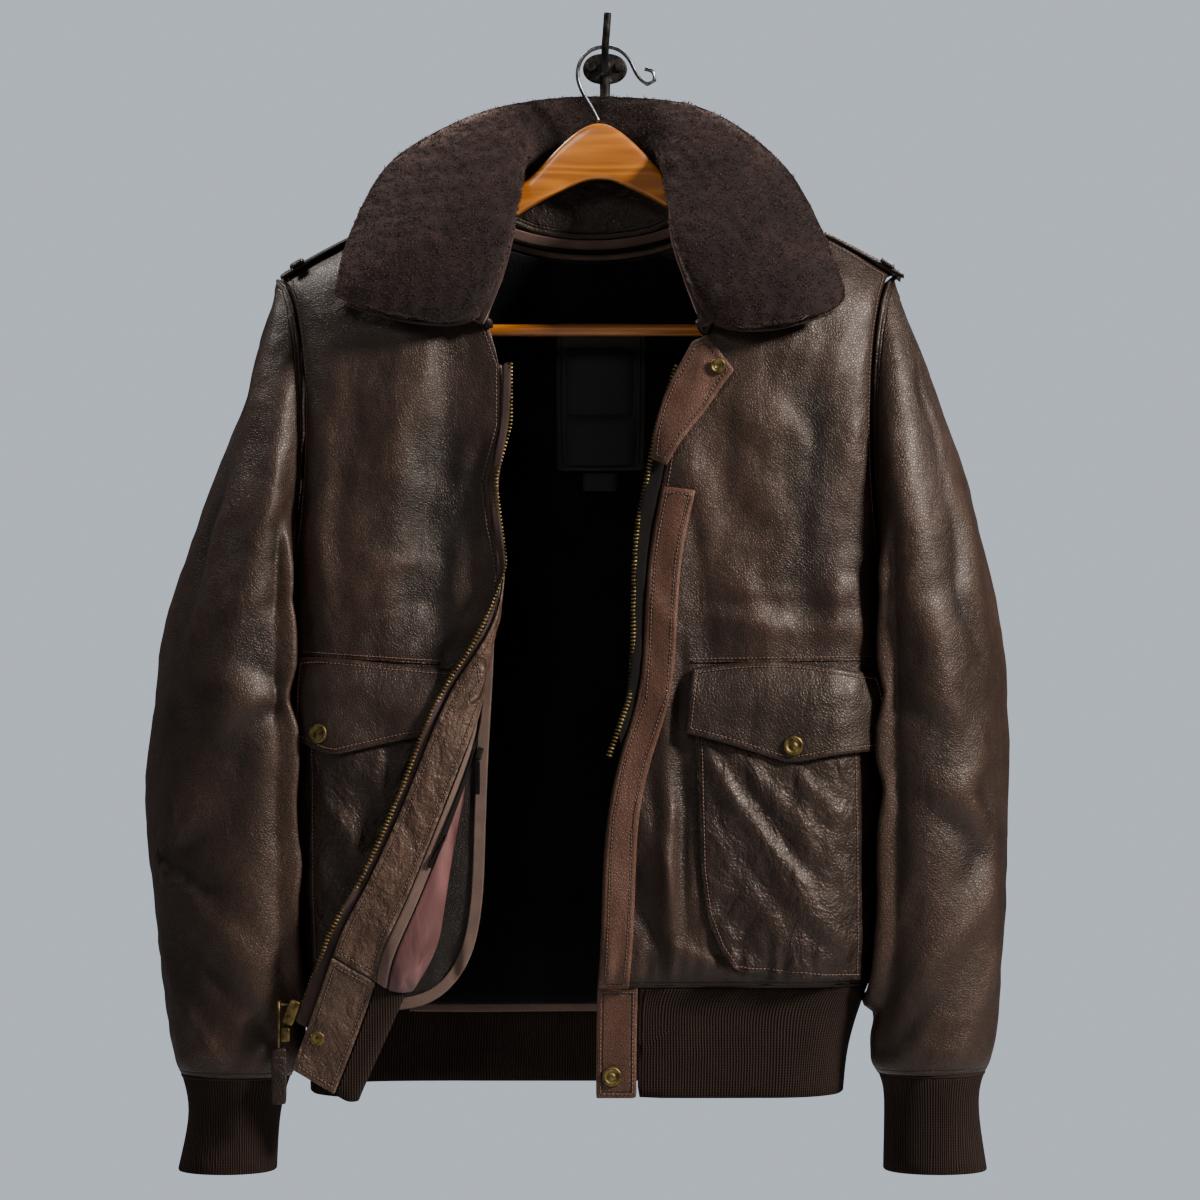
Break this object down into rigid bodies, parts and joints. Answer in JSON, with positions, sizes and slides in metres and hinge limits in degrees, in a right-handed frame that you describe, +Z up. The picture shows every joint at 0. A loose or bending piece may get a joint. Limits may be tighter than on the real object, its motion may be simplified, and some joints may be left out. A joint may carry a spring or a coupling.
{
  "type": "leather bomber jacket on a hanger and a wall hook",
  "caption": "Open leather bomber jacket with a fur collar, knit cuffs and a knit waistband, on a wooden hanger that hangs from a wall hook.",
  "frame": {"origin": "middle of the wall plate's back face, where it meets the wall", "axes": "+X to the right seen from the front, +Y into the wall, +Z up"},
  "size_m": [0.679, 0.1676, 0.9004],
  "materials": {
    "leather": "pebbled, soft sheen",
    "leather_red": "smooth, redder brown",
    "leather_black": "smooth",
    "fur": "sheared pile",
    "knit": "ribbed wool",
    "binding": "woven tape",
    "satin": "satin",
    "pile": "short pile",
    "tape": "woven zip tape",
    "brass": "aged brass",
    "steel": "wire",
    "iron": "dark paint",
    "wood": "varnished"
  },
  "bodies": {
    "jacket": {"back": "leather", "collar_fur": "fur", "collar_stand": "leather", "cuff_left": "knit", "cuff_right": "knit", "epaulette_left": "leather", "epaulette_loop_left": "leather", "epaulette_loop_right": "leather", "epaulette_right": "leather", "facing_binding": "binding", "facing_right": "leather", "front_left": "leather", "front_right": "leather", "hanger_bar": "wood", "hanger_hook": "steel", "hanger_wood": "wood", "label_panel": "leather_black", "label_patch_a": "tape", "label_patch_b": "tape", "label_patch_c": "tape", "lapel_left": "leather", "lapel_socket": "brass", "liner_back": "pile", "liner_front_binding": "binding", "liner_front_left": "pile", "liner_front_right": "pile", "liner_hem_binding": "binding", "liner_zip_pull": "iron", "liner_zip_slider": "iron", "liner_zip_tape": "leather_black", "neck_band": "binding", "neck_zip": "tape", "placket_left": "leather_red", "pocket_flap_left": "leather", "pocket_flap_right": "leather", "pocket_left": "leather", "pocket_right": "leather", "pocket_stud_left": "brass", "pocket_stud_right": "brass", "satin_lining": "satin", "screw_left": "iron", "screw_right": "iron", "sleeve_left": "leather", "sleeve_right": "leather", "under_collar": "leather", "waist_stud_left": "brass", "waist_stud_right": "brass", "waist_tab_left": "leather", "waist_tab_right": "leather", "waistband": "knit", "wall_hook": "iron", "zip_retainer": "brass", "zip_slider": "brass", "zip_tape_left": "tape", "zip_tape_right": "tape"},
    "pull": {"zip_pull": "brass", "pull_tab": "leather_red"}
  },
  "joints": [
    {"name": "pull_swing", "type": "hinge", "parent": "jacket", "child": "pull", "pos_m": [-0.24816, -0.14567, -0.73317], "axis": [-1, 0, 0], "range_deg": [0, 120]}
  ]
}
